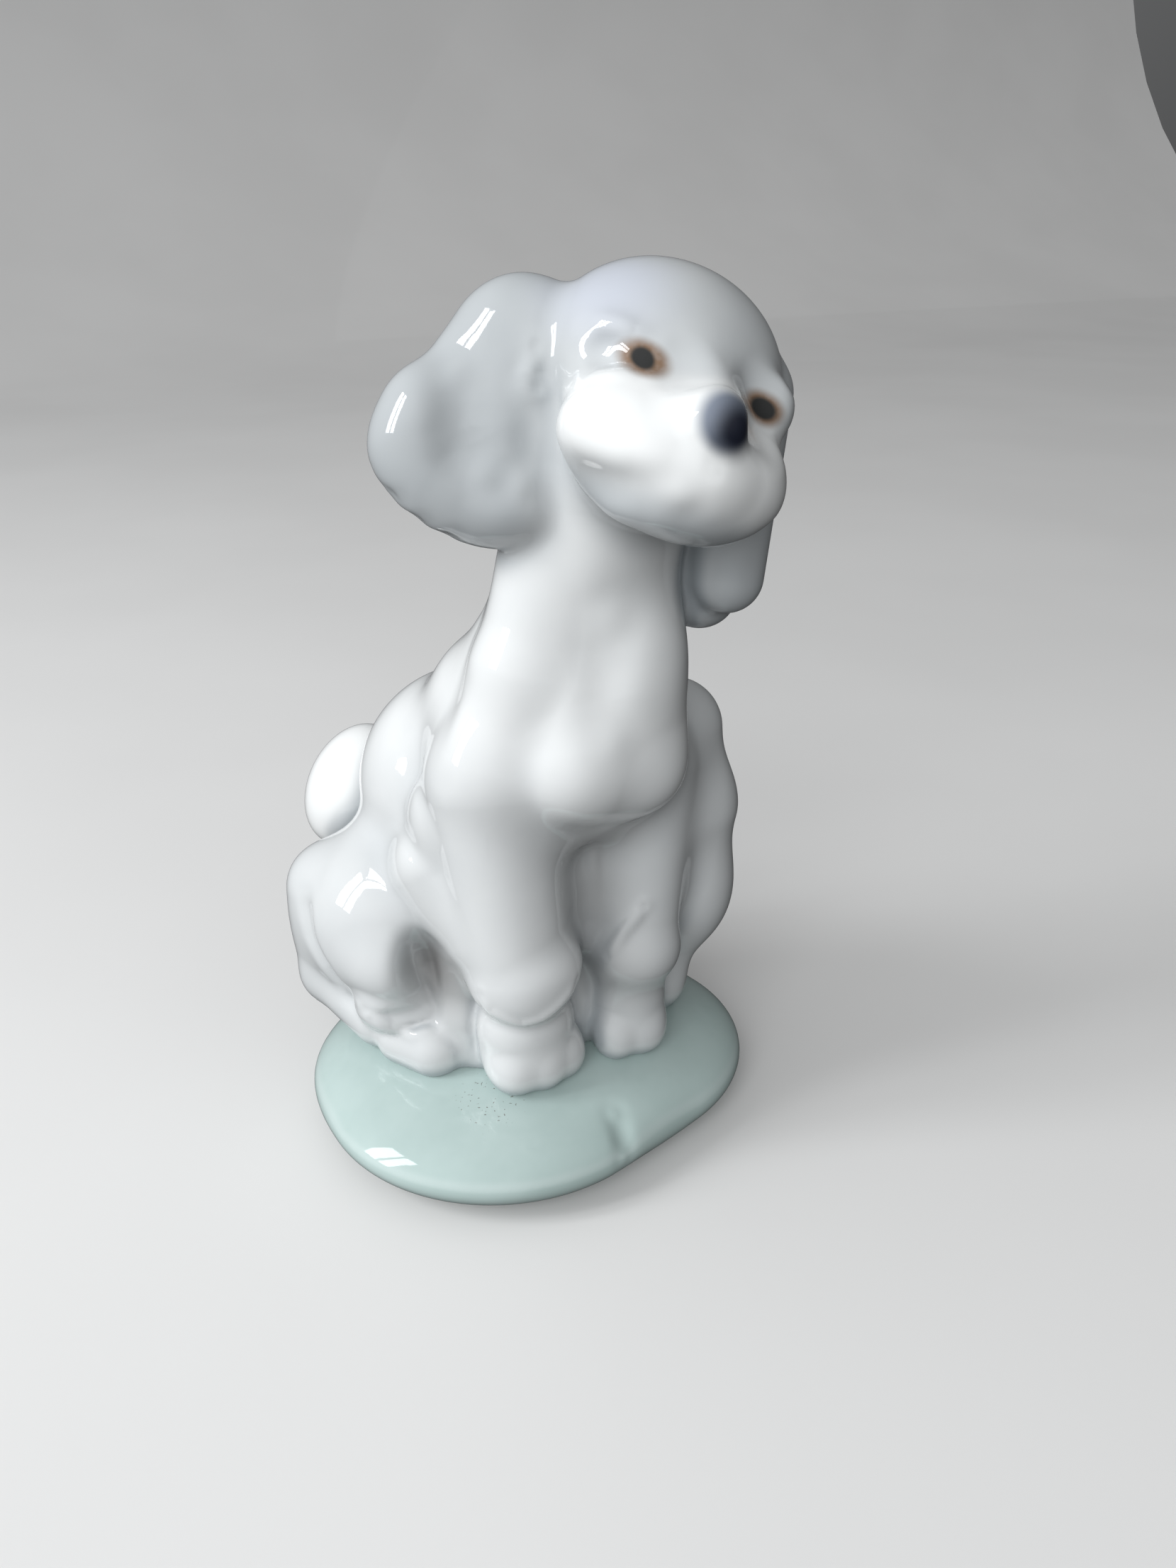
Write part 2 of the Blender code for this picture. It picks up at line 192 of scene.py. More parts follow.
class Casting:
    """One clay casting: forms placed in millimetres from the middle of its CAD body's box.

    blend is how wide it melts into the others high up, and low_blend how wide down at the paws. Each form's k
    is how wide that form melts into the ones before it.
    """

    def __init__(self, node, slot, blend, low_blend=None, turn=(0, 0, 0), shift=(0, 0, 0)):
        low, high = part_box(node)
        self.node = node
        self.slot = slot
        self.blend = blend
        self.low_blend = blend if low_blend is None else low_blend
        self.middle = (np.array(low) + np.array(high)) / 2 / MM + np.array(shift, float)
        self.axes = turned(*turn)
        self.forms = []
        self.hollows = []
        self.lines = []

    def place(self, point):
        return self.middle + self.axes @ np.array(point, float)

    def ball(self, centre, radii, turn=(0, 0, 0), k=3.0):
        self.forms.append(Ball(self.place(centre), radii, self.axes @ turned(*turn), k))

    def limb(self, start, end, start_radius, end_radius, k=3.0):
        self.forms.append(Limb(self.place(start), self.place(end), start_radius, end_radius, k))

    def toes(self, *centres_and_radii):
        for centre, radii in centres_and_radii:
            self.ball(centre, radii, k=TOE_BLEND)

    def hollow(self, centre, radii, turn=(0, 0, 0), k=3.0):
        self.hollows.append(Ball(self.place(centre), radii, self.axes @ turned(*turn), k))

    def fold(self, stops, width, height):
        self.lines.append(Line(np.array([self.place(stop) for stop in stops]), width, height))

    def crease(self, stops, width, depth):
        self.fold(stops, width, -depth)

    def distance(self, points):
        """Distance to this casting alone, before its lines are drawn."""
        result = np.full(len(points), FAR)
        for form in self.forms:
            near = inside_box(points, form.low, form.high)
            if near.any():
                result[near] = smooth_min(result[near], form.distance(points[near]), form.blend)
        for form in self.hollows:
            near = inside_box(points, form.low, form.high)
            if near.any():
                result[near] = smooth_max(result[near], -form.distance(points[near]), form.blend)
        return result

    def blend_at(self, points):
        """How wide this casting melts into the others: less near the base."""
        share = np.clip((points[:, 2] - FUR_LOW) / (FUR_HIGH - FUR_LOW), 0, 1)
        share = share * share * (3 - 2 * share)
        return self.low_blend + (self.blend - self.low_blend) * share

    def drawn(self, points, result):
        """The distances in result with this casting's folds and creases."""
        for line in self.lines:
            near = inside_box(points, line.low, line.high)
            if near.any():
                result[near] -= line.lift(points[near])
        return result


# ---------------------------------------------------------------- the castings

def base_casting():
    """The oval mound that the dog sits on, with a dent in its front edge."""
    part = Casting("base", "celadon_glaze", 0.1)
    part.ball((-4.6, 0.3, -1.3), (24.3, 23.9, 6.9), k=0.1)
    part.ball((8.4, -0.2, -1.3), (21.3, 20.3, 6.9), k=3)
    part.ball((-1, 7.3, -1.1), (26.7, 19.7, 7.1), k=3)
    part.crease([(1.4, -18.8, 3.1), (1.1, -21.2, 1.5), (0.4, -23.2, -0.9)], 1.3, 0.7)
    return part


def torso_casting():
    """Rump, back, chest and neck, with the clay between the legs."""
    part = Casting("torso", "pale_glaze", 0.1)
    # rump, back and withers
    part.ball((0.3, 11.4, -27.9), (17, 13.5, 15), k=0.1)
    part.ball((-2, 8.4, -10.4), (15.2, 14.6, 15.4), turn=(0, 12, 0), k=8)
    part.ball((0.4, -0.3, 1.4), (12, 10.7, 11.8), k=4)
    # chest, brisket, the brisket's two lobes of coat, and the swell under the left side of the throat
    part.ball((2.3, -9.1, 2.1), (13, 12, 14.3), k=6)
    part.ball((3.7, -16.3, 4.5), (9.2, 7.4, 9.6), k=4)
    part.ball((-1.1, -18.5, 1.1), (6, 5.4, 5.6), k=3)
    part.ball((6.3, -18.1, 0.1), (5.6, 5.6, 5.6), k=2.5)
    part.ball((6.5, -16.7, 12.3), (5.4, 6.2, 7), k=3)
    # neck, and the coat that runs down its right side to the shoulder
    part.limb((3.1, -9.7, 13.1), (4.7, -13.1, 31.1), 10.4, 9.8, k=6)
    part.limb((-1.3, -12.3, 24.1), (-4.3, -12.3, 12.1), 4.9, 5.6, k=2.5)
    part.limb((-4.7, -11.9, 11.1), (-7.7, -11.7, 1.1), 5.5, 5.9, k=2.5)
    # belly between the forelegs, the clay under it, and the clay behind the right foreleg
    part.ball((1.9, -6.7, -14.9), (7.4, 5.8, 14.5), k=2.5)
    part.limb((2.1, -7.7, -16.9), (2.1, -8.5, -38.9), 5, 4.8, k=2)
    part.ball((-7.7, -0.5, -28.9), (5, 5, 10), k=2.5)
    # the valley down the chest, then a fold on the left shoulder, the right shoulder and the belly
    part.crease([(1.5, -20.7, 19.5), (0.1, -21.3, 15.6), (-0.5, -22.4, 10.6), (0.2, -24.1, 5.6)], 3, 0.9)
    part.fold([(12.7, -16.7, 11.8), (14.3, -16.3, 5.1)], 2, 0.5)
    part.fold([(-10.9, -10.5, 11), (-11.7, -11, 8), (-13.8, -12.4, 3.8), (-15.2, -12.7, 0)], 2.2, 0.35)
    part.fold([(3.2, -13.3, -11.4), (3.5, -13.3, -16.9), (3.5, -13.5, -21.9), (2.3, -13.3, -25.4)],
              0.8, 0.8)
    return part


def head_casting():
    """The head in its own turned frame: the face looks along -y, and the dog's right is -x."""
    part = Casting("head", "pale_glaze", 4, turn=HEAD_TURN, shift=HEAD_SHIFT)
    # skull, cheeks, muzzle, bridge, nose, chin, and the swell beside the left eye
    part.ball((-0.6, 1, 3), (12.7, 12.6, 10.9), k=4)
    part.ball((-0.4, -9.8, -3.9), (11.8, 9, 7.4), k=3.5)
    part.ball((0.3, -15, -4.9), (8.9, 6.1, 5.9), k=3)
    part.limb((0, -6, 2.4), (-0.9, -16.6, 0.3), 5, 3.3, k=3)
    part.ball((-0.9, -19, 0.4), (2.5, 2.4, 2.6), k=2)
    part.ball((0.4, -18.6, -4.2), (3.6, 3, 2.8), k=1.8)
    part.ball((6.9, -9, 3.2), (3.3, 3.2, 3), k=2.5)
    # the stop on the left, the left side of the nose, the stop on the right, the right eye's corner
    part.hollow((5.4, -14.6, 5.6), (2.6, 3, 2.6), k=2.5)
    part.hollow((6, -19.4, 2.4), (3.7, 5.2, 3), k=2)
    part.hollow((-4.6, -15.4, 5.6), (2.2, 2.6, 2.2), k=3)
    part.hollow((-11, -9.4, 2.9), (1.9, 2.2, 1.6), k=1.8)
    # right brow, the line under the right eye, left brow
    part.fold([(-11.2, -4.6, 4.2), (-10.4, -7, 5.3), (-8.6, -9.8, 6), (-6.4, -11.6, 6)], 1.3, 0.6)
    part.fold([(-10.9, -8, 0.4), (-9, -10.9, 1.1), (-6.6, -12.6, 1.5)], 1.1, 0.5)
    part.fold([(11.2, -4.6, 4.2), (10.4, -7, 5.3), (8.6, -9.8, 6)], 1.3, 0.5)
    # the mouth, which both sides share as far as it is seen on the left; only the right runs on to the lip
    mouth = [(-10.4, -8.6, -9.2), (-9.8, -11.4, -8.8), (-8.8, -13.4, -8.5), (-7.5, -15.8, -8),
             (-5.9, -17.9, -7.3)]
    part.crease(mouth + [(-4, -19.3, -6.8), (-2.1, -20.4, -6.4)], 2.2, 1.3)
    part.crease([(-x, y, z) for x, y, z in mouth], 2.2, 0.5)
    # the edge of the right jaw, and the groove under the nose
    part.fold([(-6.6, -8.5, -11.4), (-5.6, -15, -10.8), (-4.4, -18.6, -9.6)], 2.4, 0.5)
    part.crease([(-0.9, -22, -1.8), (-0.8, -22, -3.4)], 0.8, 0.35)
    return part


def right_ear_casting():
    """The big hanging ear: locks of coat side by side, with valleys between them and a scalloped rim."""
    part = Casting("ear_right", "grey_glaze", 1.6)
    # the locks, from the back one to the front one
    part.limb((4.2, 2.8, 6.7), (-5, 2.7, -2.1), 5.2, 5.5, k=3)
    part.ball((-4, 1.8, 0.7), (5.3, 5.3, 5.6), k=2)
    part.limb((5.4, 1.2, 8.7), (-3.2, 0.7, -5.4), 5.2, 5, k=3)
    part.limb((7, 0, 8.5), (-0.2, -1.3, -7), 5.4, 5, k=2.5)
    part.limb((8.2, -2.4, 7.3), (2.8, -3.3, -7.1), 5.2, 5, k=2.5)
    # two long valleys and a short fold at the root
    part.crease([(-2.4, -1.9, 6.3), (-3.7, -3.2, 3.4), (-4.2, -4.1, 0.6), (-3.8, -4.5, -1.4),
                 (-2.1, -6, -4.1)], 2.4, 1.1)
    part.crease([(2.7, -6.3, 4.7), (2.7, -7.2, 1.1), (2.2, -7.7, -2.4), (1.1, -7.9, -5.2)], 2, 0.8)
    part.fold([(4, -6.2, 8.3), (3.2, -6.4, 5.7), (3.5, -7, 4.1)], 1, 0.5)
    # notches in the rim
    for outer, inner, depth in (((-9.2, 3, -6.5), (-7.8, 0, -5.9), 0.5),
                                ((-7.2, 2.8, -9.1), (-5.8, -1, -8.1), 0.5),
                                ((-4.6, 1, -10.9), (-3.4, -3, -9.7), 0.4)):
        part.crease([outer, inner], 1, depth)
    return part


def left_ear_casting():
    """The far ear: three locks of coat hanging side by side."""
    part = Casting("ear_left", "grey_glaze", 1.2)
    part.limb((0.2, -5, 11.4), (-1.2, -5, -7.8), 4.9, 4.1, k=3)
    part.limb((-0.4, 0.5, 12.9), (-1.2, 0, -10.6), 4.8, 4.4, k=1.5)
    part.limb((-1.4, 5, 11.9), (-1.9, 5, -8.1), 4.8, 4.8, k=1.5)
    return part


def right_foreleg_casting():
    """The near foreleg, with a cuff of coat over a paw with three toes."""
    part = Casting("foreleg_right", "pale_glaze", 5, low_blend=CRISP_BLEND)
    # leg, elbow and cuff
    part.limb((-0.2, 3.1, 17.8), (1, -1.1, -4.7), 7.4, 6.3, k=4)
    part.limb((-5, 8.5, 6.3), (-2.2, 3.9, -1.7), 4.9, 4.6, k=3)
    part.ball((1.4, -1.1, -7), (5.9, 6.5, 4.9), k=2.5)
    # the clay that joins the leg to the hind paw behind it
    part.limb((-2.6, 6.1, -5.2), (-3.2, 6.7, -14.7), 3.6, 3.6, k=2)
    part.limb((-3.4, 5.9, -14.7), (-1.8, 4.7, -19.7), 3.4, 3.4, k=2)
    # front of the cuff, paw, toes, and the tuft above the elbow
    part.ball((2.8, -1.9, -4.2), (5.6, 6, 4.2), k=2)
    part.ball((2, -0.5, -14.2), (6.3, 5.6, 6.6), k=1.2)
    part.ball((2.5, -1.1, -18.2), (6.5, 5.5, 4.5), k=1.5)
    part.toes(((-0.7, -2.3, -18.4), (3.3, 3.7, 3.9)), ((2.7, -3.2, -18.4), (2.6, 3.2, 3.8)),
              ((6, -2.5, -18.4), (2.9, 3.3, 3.8)))
    part.ball((-4.8, 6.9, 11.4), (3.6, 4.6, 6.6), turn=(0, 6, -10), k=1.2)
    # the cuff's hem
    part.fold([(-5.2, -3.2, -5.7), (-4.7, -4, -8), (-1.6, -6.6, -9.7), (0.6, -7.8, -9), (3.3, -8.1, -7.1),
               (5.7, -7.3, -4.9)], 0.9, 0.4)
    return part


def left_foreleg_casting():
    """The far foreleg, with its cuff, two toes, and a fold across the cuff."""
    part = Casting("foreleg_left", "pale_glaze", 5, low_blend=CRISP_BLEND)
    part.limb((2, 2.4, 16.3), (-1, -1.8, -4.7), 6.8, 5.5, k=4)
    part.ball((-1.5, -2.1, -6.5), (5.9, 6, 4.8), k=2)
    part.ball((-1.7, -1.4, -13.7), (5, 5, 6.4), k=3)
    part.ball((-1.8, -1.8, -17.7), (5, 5, 4.5), k=1.5)
    part.toes(((-4.8, -3.2, -17.8), (2.8, 3.3, 3.8)), ((-0.8, -3.4, -17.8), (3.2, 3.5, 3.9)))
    part.fold([(-2.3, -6.2, 1.9), (-4.8, -5.4, -1.6), (-6.6, -4.7, -5)], 0.8, 0.6)
    return part


def right_hind_leg_casting():
    """The near hind leg, folded, with its paw pointing forward past the foreleg."""
    part = Casting("hind_leg_right", "pale_glaze", 5, low_blend=CRISP_BLEND)
    # haunch, knee, the back edge of the leg, the shank along the base
    part.ball((1.5, 2.9, 1.7), (10.6, 13.7, 12.1), turn=(10, -15, 0), k=2.5)
    part.ball((0.3, -4.3, 0.2), (6.9, 7.6, 6), k=2)
    part.limb((-4, 8.7, 5.2), (-3.9, 7.8, -7.2), 5.1, 5, k=3)
    part.limb((-3.9, 7, -7.2), (-1.5, -2.5, -9.8), 5, 4.4, k=1.5)
    # cuff, paw and inner toe
    part.limb((-1.5, -5.6, -5.2), (2.7, -7.7, -4.8), 4.7, 4.3, k=0.9)
    part.limb((-0.1, -6.9, -10.8), (2.1, -11.2, -10.8), 4, 4, k=0.8)
    part.ball((4.5, -11.3, -10.9), (3, 3.6, 3.7), k=0.6)
    # the pit in front of the knee
    part.hollow((1.9, -14.9, 1.6), (4.8, 6, 6.6), k=3)
    # the haunch's outer valley, the curl in the pit, the cuff's top edge and its hem
    part.crease([(-9.3, 4.1, 7.3), (-8.9, 1.9, 2.1), (-7.8, -0.5, -1.7), (-6, -1.9, -5.7)], 1.2, 0.9)
    part.fold([(1.3, -8.5, 2.8), (2.1, -8.7, 0.4), (2.9, -9.9, -1.8), (3.5, -11.1, -3.4)], 0.8, 0.8)
    part.crease([(-5.9, -5.9, -4.8), (-2.7, -9.7, -5.2), (1.7, -11.4, -4.8)], 1, 0.6)
    part.fold([(-5.4, -8.2, -6), (-3.2, -9.5, -7.5), (-0.7, -11.6, -7.8), (2.1, -12.5, -7.2)], 0.9, 0.5)
    return part


def left_hind_leg_casting():
    """The far hind leg: haunch, shin, the coat up the flank, knee and paw."""
    part = Casting("hind_leg_left", "pale_glaze", 3)
    part.ball((-1.1, 1.5, 4.4), (9.3, 13.2, 15.4), turn=(0, 15, 5), k=3)
    part.limb((2.9, -7.5, 10.4), (-0.6, -5.5, -9.6), 6.3, 6.2, k=3)
    part.limb((1.8, -5.3, 20.5), (1.8, -6, 10), 6.5, 7, k=4)
    part.ball((-5.1, -1, 15.4), (8.5, 9, 9), k=4)
    part.ball((2.6, -7.2, -1), (7, 7.5, 10), k=3)
    part.limb((-1.1, -1.5, -15.1), (-2.1, -7.5, -15.1), 4.7, 5, k=2.5)
    return part


def tail_casting():
    """The pompon and the short tail that carries it."""
    part = Casting("tail", "white_glaze", 0.5)
    part.ball((-2, 0, 1.3), (6.2, 7, 9.2), turn=(0, 0, 32), k=0.5)
    part.limb((6.5, -7, -6.8), (0.5, -2, -2.8), 5, 4, k=2)
    return part


# ---------------------------------------------------------------- the whole field

FOOT_RECESS_RADII = (22, 18, 5.5)         # the hollow under the base, mm
FOOT_RECESS_BLEND = 1.0
FOOT_EDGE_ROUNDING = 1.2                  # rounding of the foot ring's edges, mm


class Base:
    """The base: its forms, cut flat at the foot and hollowed underneath."""

    def __init__(self, casting):
        self.casting = casting
        low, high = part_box("base")
        self.floor = low.z / MM
        middle = np.array([(low.x + high.x) / 2 / MM, (low.y + high.y) / 2 / MM, self.floor])
        self.recess = Ball(middle, FOOT_RECESS_RADII, np.eye(3), FOOT_RECESS_BLEND)

    def mound(self, points):
        """Distance to the base as if it went on below the floor."""
        return self.casting.drawn(points, self.casting.distance(points))

    def distance(self, points):
        result = smooth_max(self.mound(points), self.floor - points[:, 2], FOOT_EDGE_ROUNDING)
        near = inside_box(points, self.recess.low, self.recess.high)
        result[near] = smooth_max(result[near], -self.recess.distance(points[near]), FOOT_EDGE_ROUNDING)
        return result


class Dog:
    """Every casting of the dog under one glaze, standing on the base."""

    def __init__(self, castings, base):
        self.castings = castings
        self.base = base

    def casting(self, node):
        return next(casting for casting in self.castings if casting.node == node)

    def distance(self, points):
        result = np.full(len(points), FAR)
        for casting in self.castings:
            result = smooth_min(result, casting.distance(points), casting.blend_at(points))
        for casting in self.castings:
            result = casting.drawn(points, result)
        return smooth_max(result, -self.base.mound(points) - SINK, CONTACT_ROUNDING)


# ---------------------------------------------------------------- surface

BAND_CELLS = 0.87                         # half the diagonal of a cell, in cells
BAND_SPARE = 2.0                          # fine cells that are worked out beyond that, to be safe
LEAST_SLOPE = 0.2                         # the gentlest slope that is followed as it is
TURNED_OVER = 0.3                         # cosine below which a face counts as turned over
STEADY = 0.6                              # cosine above which the slope and the faces agree
LONGEST_SINK = 2.0                        # the longest step of a cap point on its way in, mm


def gradient(distance, points, step=0.05):
    """The slope of distance at each point."""
    columns = [distance(points + axis) - distance(points - axis) for axis in np.eye(3) * step]
    return np.stack(columns, axis=1) / (2 * step)


def snapped(distance, points, steps=2, longest=0.6, least=0.05):
    """The points moved onto the surface, by at most the longest move in each step."""
    for _ in range(steps):
        slope = gradient(distance, points)
        move = (distance(points) / (slope * slope).sum(axis=1).clip(least))[:, None] * slope
        length = np.linalg.norm(move, axis=1, keepdims=True)
        points = points - move * np.minimum(1, longest / (length + TINY))
    return points


def surface(distance, low, high):
    """Points and four-sided faces of the surface where distance is zero.

    A coarse look finds the cells near the surface, and only those are worked out finely.
    """
    cells = np.ceil((high - low) / (CELL * COARSE)).astype(int)
    coarse_at = np.indices(cells + 1).reshape(3, -1).T
    coarse = distance(low + coarse_at * CELL * COARSE).reshape(cells + 1)
    nearest = [np.rint(np.arange(count * COARSE + 1) / COARSE).astype(int) for count in cells]
    values = coarse[np.ix_(*nearest)]
    band = np.abs(values) < CELL * (COARSE * BAND_CELLS + BAND_SPARE)
    values = np.where(values < 0, -FAR, FAR).astype(np.float32)
    values[band] = distance(low + np.argwhere(band) * CELL)
    grid = openvdb.FloatGrid(FAR)
    grid.copyFromArray(values)
    points, _, quads = grid.convertToPolygons(isovalue=0.0, adaptivity=0.0)
    quads = quads.astype(int)
    rough = points.astype(float) * CELL + low
    return unfolded(rough, snapped(distance, rough), quads), quads


def face_normals(points, quads):
    """The direction each face looks, as long as twice its area."""
    corners = points[quads]
    return np.cross(corners[:, 2] - corners[:, 0], corners[:, 3] - corners[:, 1])


def unfolded(before, after, quads):
    """The points in after, put back where they were in before wherever a face would turn over."""
    after = after.copy()
    old = face_normals(before, quads)
    old_size = np.linalg.norm(old, axis=1)
    for _ in range(3):
        new = face_normals(after, quads)
        new_size = np.linalg.norm(new, axis=1)
        turned_over = (old * new).sum(axis=1) < TURNED_OVER * old_size * new_size
        after[quads[turned_over]] = before[quads[turned_over]]
    return after


def skin_normals(distance, points, quads):
    """The directions the skin looks: the distance's slope, or the faces' own where that is unsteady."""
    slope = gradient(distance, points)
    slope /= np.linalg.norm(slope, axis=1, keepdims=True).clip(TINY)
    faces = face_normals(points, quads)
    own = np.zeros_like(points)
    for corner in range(4):
        np.add.at(own, quads[:, corner], faces)
    own /= np.linalg.norm(own, axis=1, keepdims=True).clip(TINY)
    unsteady = (slope * own).sum(axis=1) < STEADY
    slope[unsteady] = own[unsteady]
    return slope


def edge_pairs(quads):
    """The two faces on either side of every edge that two faces share."""
    edges = np.stack([quads, np.roll(quads, -1, axis=1)], axis=2).reshape(-1, 2)
    faces = np.repeat(np.arange(len(quads)), 4)
    edges.sort(axis=1)
    order = np.lexsort((edges[:, 1], edges[:, 0]))
    edges, faces = edges[order], faces[order]
    same = np.all(edges[1:] == edges[:-1], axis=1)
    return np.stack([faces[:-1][same], faces[1:][same]], axis=1)


def patches(owner, pairs):
    """The number of the connected patch of one owner that each face is in."""
    root = list(range(len(owner)))

    def top(i):
        while root[i] != i:
            root[i] = root[root[i]]
            i = root[i]
        return i

    for a, b in pairs[owner[pairs[:, 0]] == owner[pairs[:, 1]]].tolist():
        a, b = top(a), top(b)
        if a != b:
            root[b] = a
    return np.array([top(i) for i in range(len(owner))])


def without_small_patches(owner, pairs):
    """The owners, with every small patch given to the owner that it touches most."""
    for _ in range(4):
        patch = patches(owner, pairs)
        names, counts = np.unique(patch, return_counts=True)
        small = names[counts < SMALLEST_PATCH]
        if not len(small):
            break
        for name in small:
            mine = patch == name
            touching = np.concatenate([
                owner[pairs[mine[pairs[:, 0]] & ~mine[pairs[:, 1]], 1]],
                owner[pairs[mine[pairs[:, 1]] & ~mine[pairs[:, 0]], 0]],
            ])
            if len(touching):
                owner[mine] = np.bincount(touching).argmax()
    return owner


def open_loops(quads):
    """The loops of points round the open edges of some faces, in the faces' own direction."""
    edges = np.stack([quads, np.roll(quads, -1, axis=1)], axis=2).reshape(-1, 2)
    there = {(a, b) for a, b in edges.tolist()}
    following = {}
    for a, b in sorted(there):
        if (b, a) not in there:
            following.setdefault(a, []).append(b)
    loops = []
    while following:
        start = next(iter(following))
        loop = [start]
        while True:
            ahead = following[loop[-1]]
            step = ahead.pop()
            if not ahead:
                del following[loop[-1]]
            if step == start:
                break
            loop.append(step)
        loops.append(loop)
    return loops


def sunk(distance, points, depths):
    """The points moved inwards until each is at its depth under the surface."""
    for _ in range(4):
        slope = gradient(distance, points)
        slope /= np.linalg.norm(slope, axis=1, keepdims=True).clip(LEAST_SLOPE)
        points = points - slope * np.clip(distance(points) + depths, 0, LONGEST_SINK)[:, None]
    return points


def cap(rim, first, loop, distance):
    """Points and faces that close the opening inside a rim.

    They dive in at the rim and stay under the surface, so that they are never seen between two pieces.
    """
    count = len(rim)
    middle = rim.mean(axis=0)
    share = np.repeat(np.arange(CAP_RINGS) / CAP_RINGS, count)
    rings = np.tile(rim, (CAP_RINGS, 1)) * (1 - share[:, None]) + middle * share[:, None]
    points = np.concatenate([rings, middle[None]])
    points = sunk(distance, points, CAP_LIP + np.append(share, 1) ** 0.5 * (CAP_DEPTH - CAP_LIP))
    rows = [list(loop)] + [[first + row * count + i for i in range(count)] for row in range(CAP_RINGS)]
    hub = first + count * CAP_RINGS
    faces = []
    for outer, inner in zip(rows, rows[1:]):
        for i in range(count):
            after = (i + 1) % count
            faces.append((outer[after], outer[i], inner[i], inner[after]))
    faces += [(rows[-1][(i + 1) % count], rows[-1][i], hub) for i in range(count)]
    return points, faces


def piece_mesh(name, points, normals, quads, attributes, distance):
    """A closed mesh of the given faces, with each opening capped, and the glaze's smooth normals."""
    used, quads = np.unique(quads, return_inverse=True)
    quads = quads.reshape(-1, 4)
    points = points[used]
    normals = normals[used]
    inner = np.zeros((0, 3))
    caps = []
    for loop in open_loops(quads):
        more, faces = cap(points[loop], len(points) + len(inner), loop, distance)
        inner = np.concatenate([inner, more])
        caps += faces
    mesh = bpy.data.meshes.new(name)
    mesh.from_pydata((np.concatenate([points, inner]) * MM).tolist(), [], quads.tolist() + caps)
    for key, values in attributes.items():
        values = values[used]
        kind = "FLOAT" if values.ndim == 1 else "FLOAT_VECTOR"
        field = "value" if values.ndim == 1 else "vector"
        spare = np.zeros((len(inner),) + values.shape[1:])
        store = mesh.attributes.new(key, kind, "POINT")
        store.data.foreach_set(field, np.concatenate([values, spare]).astype(np.float32).ravel())
    mesh.shade_smooth()
    upright = np.tile([0.0, 0.0, 1.0], (len(inner), 1))
    mesh.normals_split_custom_set_from_vertices(np.concatenate([normals, upright]).tolist())
    return mesh


def add_piece(name, mesh, material, node, slot):
    """The piece that stands for a CAD node."""
    mesh.materials.append(material)
    piece = bpy.data.objects.new(name, mesh)
    bpy.context.scene.collection.objects.link(piece)
    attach(piece, BODY)
    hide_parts(node)


# ---------------------------------------------------------------- painted values

DOG_COVER_STEPS = (1.2, 3.0, 6.5)         # how far out from the surface nearby clay is felt for, mm
BASE_COVER_STEPS = (0.8, 2.0, 4.0)


def cover(distance, points, normals, steps):
    """How much of the view outwards is closed off by nearby clay: 0 in the open, 1 deep in a crease."""
    total = np.zeros(len(points))
    for step in steps:
        total += np.clip(1 - distance(points + normals * step) / step, 0, 1)
    return total / len(steps)


SHEEN_TILT = 0.5                            # how far the surface faces up where the base is painted paler: thin glaze and a painted highlight
SHEEN_SPREAD = 0.22                         # and how evenly that fades round it
MUZZLE_LINE_HEIGHT = 2.3                  # where the white muzzle meets the grey face, in the head's frame
MUZZLE_LINE_AT = -12.3
MUZZLE_LINE_SLOPE = -0.55
MUZZLE_FADE = 0.55                        # how softly, mm
JAW_LINE_HEIGHT = -7.4                    # where painted shade starts on the jaw's underside, in the head's frame
JAW_FADE = 0.69
FACE_WASH = 0.70
# how deep the painted shade under the jaw is
JAW_UNDERSIDE_SHADE = 1.0
THROAT_WASH = 0.20
CHEST_WASH = 0.15                         # how much deeper than the throat the chest is
CHEST_TOP = 60.0                          # the height where the chest starts to deepen, mm
CHEST_FADE = 14.0                         # and how far down until it has
COAT_WASH = {"ear_right": 1.0, "ear_left": 1.0, "tail": 0.0, "foreleg_right": 0.38, "foreleg_left": 0.5,
             "hind_leg_right": 0.5, "hind_leg_left": 0.5}
WASH_SPREAD = 2.0                         # how far the airbrushing of one casting reaches over the next, mm


def above(values, level, fade):
    """0 well below the level, 1 well above it."""
    return 1 / (1 + np.exp((level - values) / fade))


def wash_and_jaw_shade(dog, points, head_place):
    """The grey-blue airbrushing, with painted shade under the jaw: 0 is bare white, 1 the deepest grey.
    Castings fade into each other.
    """
    height = head_place[:, 2]
    muzzle_line = MUZZLE_LINE_HEIGHT + MUZZLE_LINE_SLOPE * (head_place[:, 1] - MUZZLE_LINE_AT)
    face_wash_and_jaw_shade = FACE_WASH * above(height, muzzle_line, MUZZLE_FADE)
    # painted shade on the jaw's underside
    face_wash_and_jaw_shade += JAW_UNDERSIDE_SHADE * above(-height, -JAW_LINE_HEIGHT, JAW_FADE)
    torso = THROAT_WASH + CHEST_WASH * np.clip((CHEST_TOP - points[:, 2]) / CHEST_FADE, 0, 1)
    deep = {"head": face_wash_and_jaw_shade, "torso": torso, **COAT_WASH}
    total = np.zeros(len(points))
    weight = np.full(len(points), TINY)
    for casting in dog.castings:
        share = np.exp(-(np.clip(casting.distance(points), 0, FAR) / WASH_SPREAD) ** 2)
        total += share * deep[casting.node]
        weight += share
    return total / weight


HOLLOW_SHADES = (                                 # painted shade in the hollows between the legs and under the chest: casting, place, radii, depth
    ("hind_leg_right", (3.7, -10.5, 0.8), (4.8, 5.6, 6.4), 0.95),
    ("torso", (2.7, -13.6, -18.9), (4.6, 5.0, 12.0), 0.6),
    ("torso", (1.3, -16.1, -8.4), (7.0, 5.0, 3.5), 0.35),
    ("foreleg_left", (-3.5, -4.2, -8.7), (6.0, 5.0, 5.0), 0.3),
)


